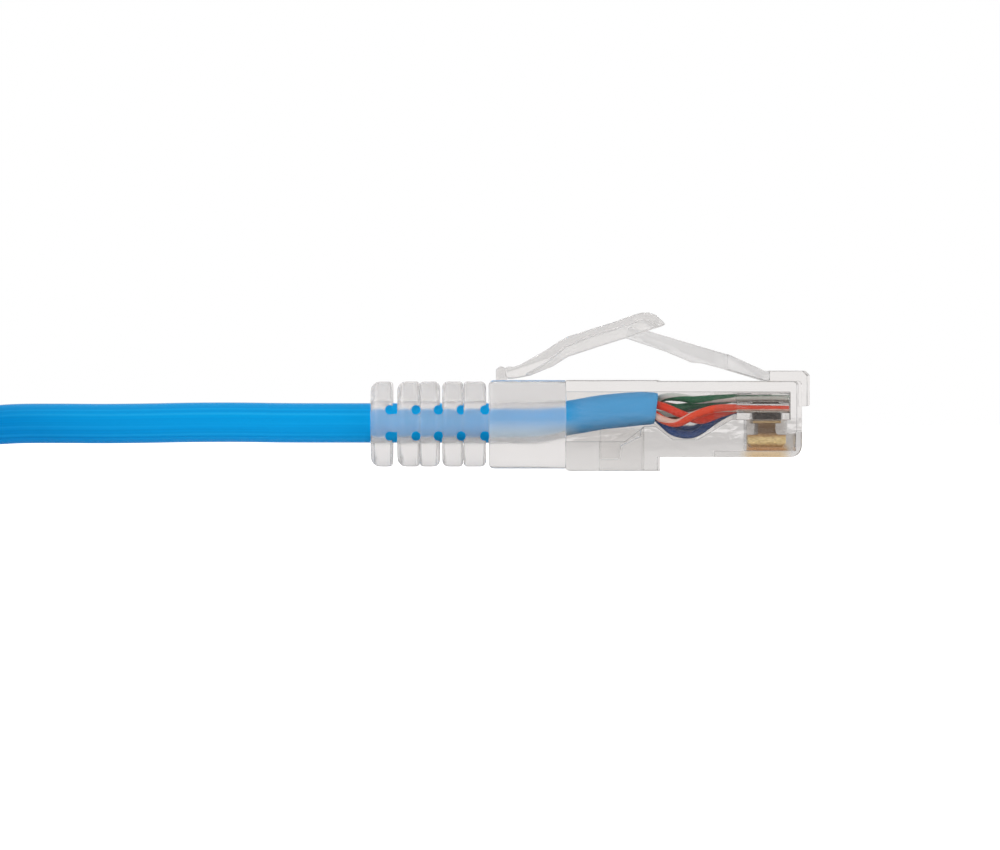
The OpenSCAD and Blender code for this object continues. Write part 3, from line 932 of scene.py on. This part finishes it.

# The clear housing carries a painted reflection of the gold round the contacts' feet.
clear = clear_plastic("clear_polycarbonate", (0.955, 0.95, 0.945), 1.0, 0.03, painted_gold_reflection=(0.93, 0.80, 0.62))
clear_bar = clear_plastic("clear_load_bar", (0.965, 0.96, 0.955), 1.0, 0.03, through=0.95)
hazy = clear_plastic("hazy_latch_plastic", (0.95, 0.95, 0.95), 0.72, 0.16, 1.45, wave=0.03, tooth=0.0)
milky_hood = clear_plastic("milky_hood_plastic", (0.955, 0.95, 0.945), 0.84, 0.14, 1.4, wave=0.02, tooth=0.0)
milky = clear_plastic("milky_boot_plastic", (0.975, 0.965, 0.96), 0.88, 0.2, 1.45, wave=0.05, tooth=0.008)
gold = gold_plate("gold_plating")
SHEATH_SHADES = ((0.0, 0.33, 0.80), (0.0, 0.41, 0.91), (0.012, 0.47, 0.96))
sheath_blue = cord_sheath("blue_sheath", *SHEATH_SHADES)
# Its pressed end is painted paler inside the plug, a painted sheen.
pressed_blue = cord_sheath("blue_sheath_in_plug", *SHEATH_SHADES, painted_sheen=(0.11, 0.49, 0.94))
black = tie_coating("black_tie_coating")
INSULATION = {
    1: insulation("white_orange_wire", (1.0, 0.62, 0.50), (1.0, 0.07, 0.012), 0.62),
    2: insulation("orange_wire", (1.0, 0.05, 0.008)),
    3: insulation("white_green_wire", (0.80, 0.84, 0.78), (0.012, 0.15, 0.06), 0.45),
    4: insulation("blue_wire", (0.006, 0.07, 0.30)),
    5: insulation("white_blue_wire", (0.78, 0.80, 0.84), (0.015, 0.075, 0.26), 0.4),
    6: insulation("green_wire", (0.012, 0.17, 0.07)),
    7: insulation("white_brown_wire", (0.82, 0.76, 0.70), (0.16, 0.06, 0.02), 0.4),
    8: insulation("brown_wire", (0.15, 0.055, 0.02)),
}

route = cord_route()
cord = drawn_round("blue_cord", route, CORD_D)
give(cord, sheath_blue)
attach(cord, "cable")
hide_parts("cord_lead", "cord_hank", "cord_tail")

on_cord = []
for end in ("near", "far"):
    for name, material, width in (("housing", clear, 0.07), ("load_bar", clear_bar, 0.05),
                                  ("jacket_anchor", clear, 0.06)):
        mould_edges(f"{end}_{name}", width)
        give_node(f"{end}_{name}", material)
    for pin in PINS:
        mould_edges(f"{end}_contact_{pin}", 0.03)
        give_node(f"{end}_contact_{pin}", gold)
on_cord += [nodes[f"far_{n}"] for n in ("housing", "load_bar", "jacket_anchor")]
on_cord += [nodes[f"far_contact_{pin}"] for pin in PINS]


def stand_for(piece, material, node):
    """Finishes a near piece, and makes the far end's from it. Returns both."""
    give(piece, material)
    twin = far_copy(piece, piece.name.replace("near_", "far_"))
    for one, end in ((piece, "near"), (twin, "far")):
        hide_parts(f"{end}_{node}")
    return piece, twin


for piece in stand_for(boot(), milky, "boot"):
    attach(piece, "cable")
on_cord.append(piece)
for piece in stand_for(jacket(), pressed_blue, "jacket"):
    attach(piece, "cable")
on_cord.append(piece)
for pin in PINS:
    for piece in stand_for(wire(pin), INSULATION[pin], f"wire_{pin}"):
        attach(piece, "cable")
    on_cord.append(piece)

near_hood, far_hood = stand_for(hood(), milky_hood, "hood")
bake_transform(near_hood)
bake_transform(far_hood)
near_latch, far_latch = stand_for(latch(), hazy, "latch")
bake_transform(near_latch)
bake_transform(far_latch)
on_cord += [far_hood, far_latch]

front_tie, back_tie = tie(-1), tie(1)
combine(front_tie, [back_tie], "UNION")
front_tie.name = "hank_ties"
give(front_tie, black)
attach(front_tie, "cable")
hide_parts("cord_ties")
on_cord.append(front_tie)
